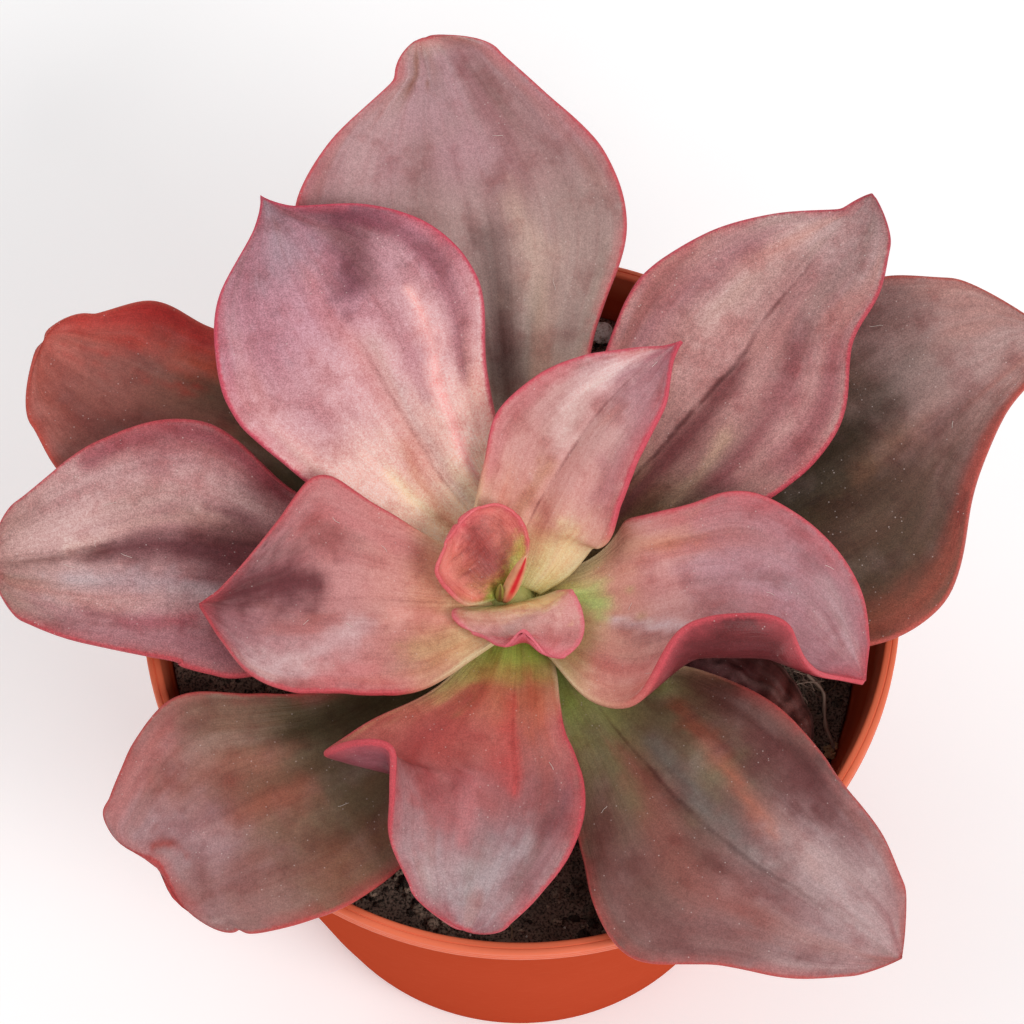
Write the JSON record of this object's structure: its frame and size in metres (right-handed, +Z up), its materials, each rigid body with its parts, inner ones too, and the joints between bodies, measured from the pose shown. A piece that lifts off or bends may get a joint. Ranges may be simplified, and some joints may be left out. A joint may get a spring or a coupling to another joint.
{
  "type": "potted echeveria",
  "caption": "Open rosette of broad, waved mauve leaves with thin red margins on a short stem, growing in dark peat soil in a plain tapered terracotta-coloured plant pot.",
  "frame": {"origin": "centre of the pot's flat base, on the surface that the pot stands on", "axes": "+Z up along the pot's axis, -Y towards the side that the plant is seen from, +X to the right from there"},
  "size_m": [0.1677, 0.153, 0.136],
  "materials": {
    "pot_plastic": "satin",
    "peat_soil": "matte",
    "perlite": "matte",
    "stem_green": "matte",
    "heart_skin": "satin",
    "rose_leaf": "matte",
    "mauve_leaf": "matte",
    "brown_leaf": "matte",
    "dry_leaf": "matte"
  },
  "bodies": {
    "root": {"pot": "pot_plastic", "soil": "peat_soil", "perlite_grain": "perlite", "stem": "stem_green", "heart_bud_1": "heart_skin", "heart_bud_2": "heart_skin", "leaf_01": "heart_skin", "leaf_02": "heart_skin", "leaf_03": "rose_leaf", "leaf_04": "rose_leaf", "leaf_05": "rose_leaf", "leaf_06": "rose_leaf", "leaf_07": "rose_leaf", "leaf_08": "mauve_leaf", "leaf_09": "mauve_leaf", "leaf_10": "brown_leaf", "leaf_11": "brown_leaf", "leaf_12": "brown_leaf", "leaf_13": "brown_leaf", "leaf_14": "brown_leaf", "dried_leaf": "dry_leaf"}
  },
  "joints": []
}
